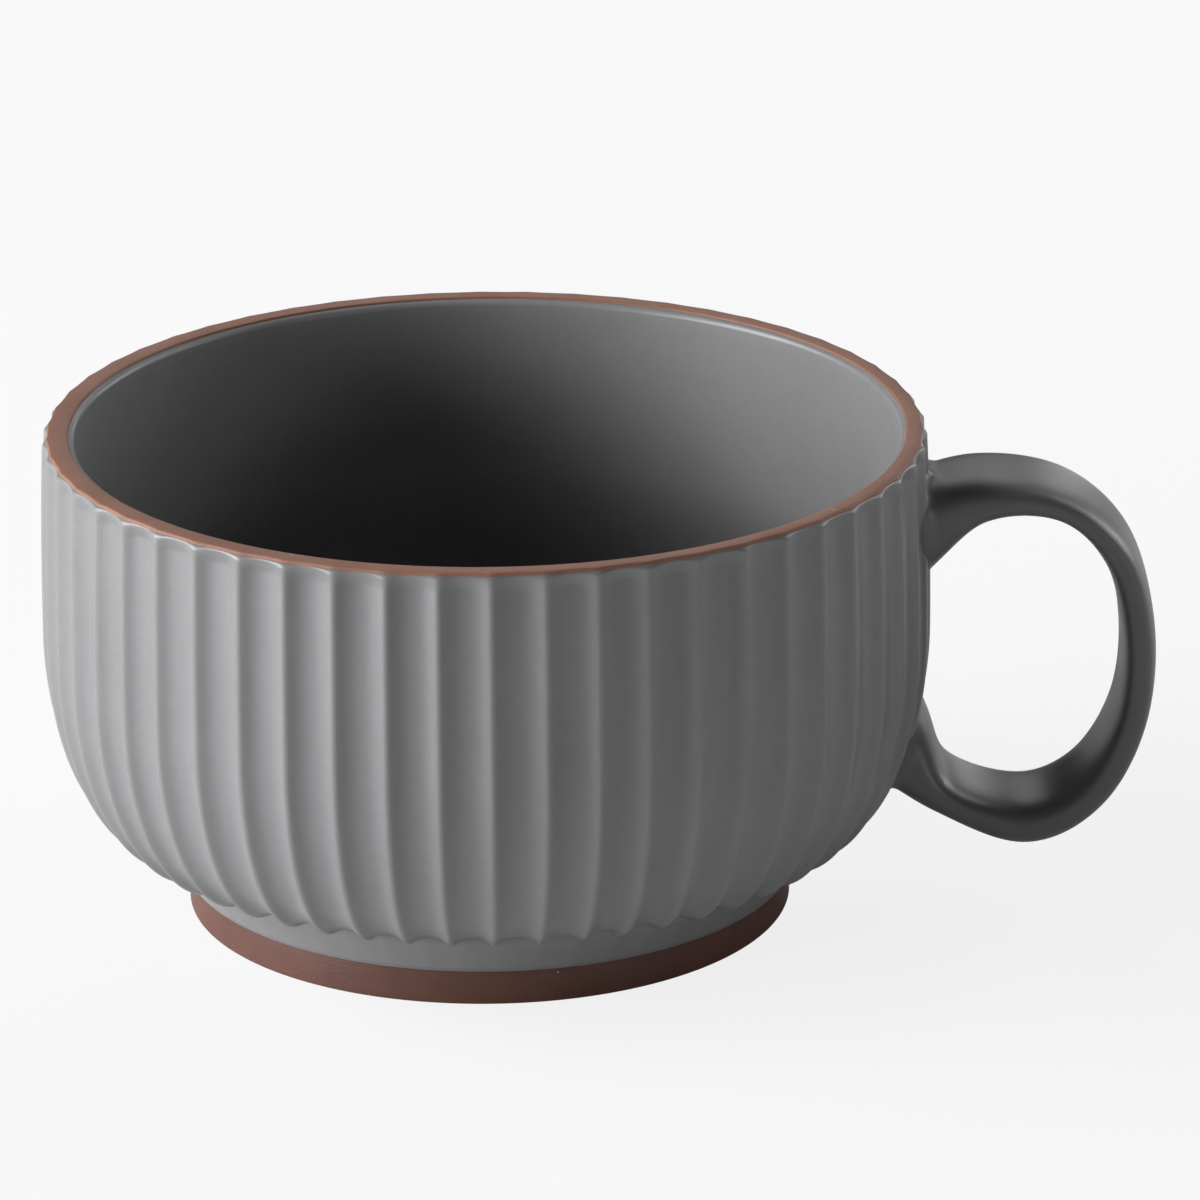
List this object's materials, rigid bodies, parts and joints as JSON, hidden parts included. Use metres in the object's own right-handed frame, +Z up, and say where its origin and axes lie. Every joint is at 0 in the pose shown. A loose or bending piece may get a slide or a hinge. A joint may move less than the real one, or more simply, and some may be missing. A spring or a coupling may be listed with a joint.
{
  "type": "soup mug",
  "caption": "Wide stoneware soup mug with vertical flutes, a bare brown lip and foot ring, and a strap handle at one side.",
  "frame": {"origin": "centre of the foot ring's underside, on the table", "axes": "+Z up along the bowl's axis, +X towards the handle"},
  "size_m": [0.1665, 0.1328, 0.0743],
  "materials": {
    "bare_clay": "matte fired stoneware, red-brown",
    "grey_glaze": "satin grey glaze"
  },
  "bodies": {
    "root": {"bowl_clay": "bare_clay", "rim_band": "bare_clay", "foot_ring": "bare_clay", "outer_glaze": "grey_glaze", "inner_glaze": "grey_glaze", "well_glaze": "grey_glaze", "handle_clay": "bare_clay", "handle_glaze": "grey_glaze", "upper_joint_slip": "bare_clay", "lower_joint_slip": "bare_clay"}
  },
  "joints": []
}
